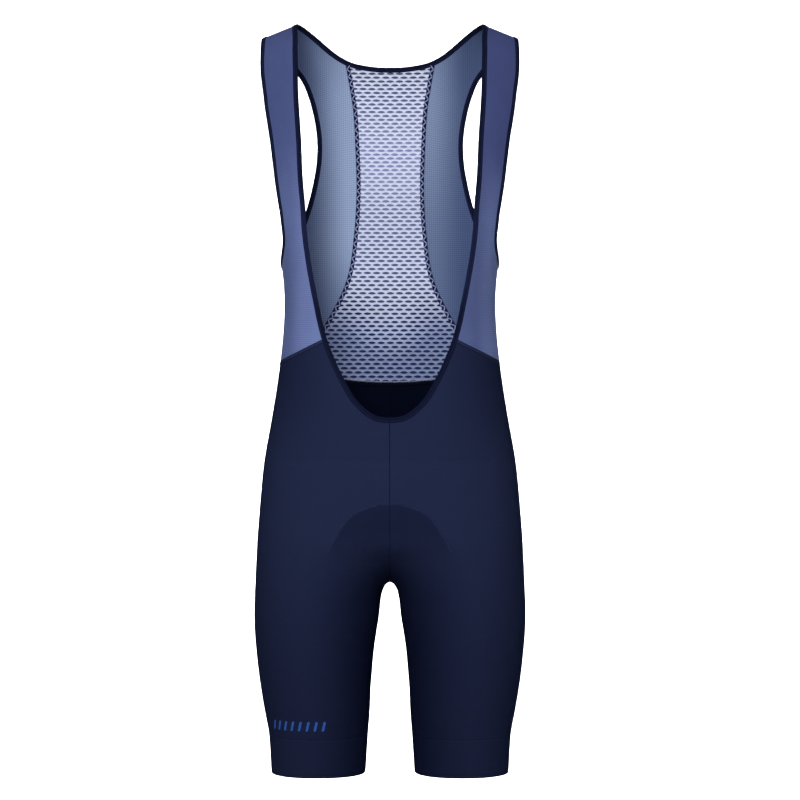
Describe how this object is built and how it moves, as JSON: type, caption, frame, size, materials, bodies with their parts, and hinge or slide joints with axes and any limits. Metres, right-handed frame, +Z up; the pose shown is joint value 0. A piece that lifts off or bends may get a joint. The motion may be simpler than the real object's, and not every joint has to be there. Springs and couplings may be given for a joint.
{
  "type": "cycling bib shorts",
  "caption": "Sleeveless stretch shorts with a deep scooped front, wide shoulder straps, an open mesh back and a seat pad, filled out as when worn.",
  "frame": {"origin": "midway between the two shoulder straps, level with the top of the shoulders at the straps' inner edges, where the wearer's shoulders hold the garment", "axes": "+Z up the standing wearer, the front faces -Y, +X to the wearer's left"},
  "size_m": [0.3396, 0.2223, 0.9345],
  "materials": {
    "shorts_knit": "smooth dense dark navy stretch knit with a soft low sheen",
    "leg_band_knit": "dark navy stretch knit gripper band",
    "strap_knit": "matte indigo stretch knit with faint fine crosswise ribs",
    "back_side_knit": "thin steel-blue knit with a fine grid of dots",
    "mesh_knit": "pale lavender open mesh with lens-shaped holes",
    "binding_tape": "folded near-black navy elastic binding",
    "pad_cloth": "dark brushed pad cover"
  },
  "bodies": {
    "root": {"front_shorts_left": "shorts_knit", "front_shorts_right": "shorts_knit", "back_shorts_left": "shorts_knit", "back_shorts_right": "shorts_knit", "leg_band_left": "leg_band_knit", "leg_band_right": "leg_band_knit", "bib_strap_left": "strap_knit", "bib_strap_right": "strap_knit", "back_side_left": "back_side_knit", "back_side_right": "back_side_knit", "back_mesh": "mesh_knit", "neck_binding": "binding_tape", "armhole_binding_left": "binding_tape", "armhole_binding_right": "binding_tape", "pad": "pad_cloth"}
  },
  "joints": []
}
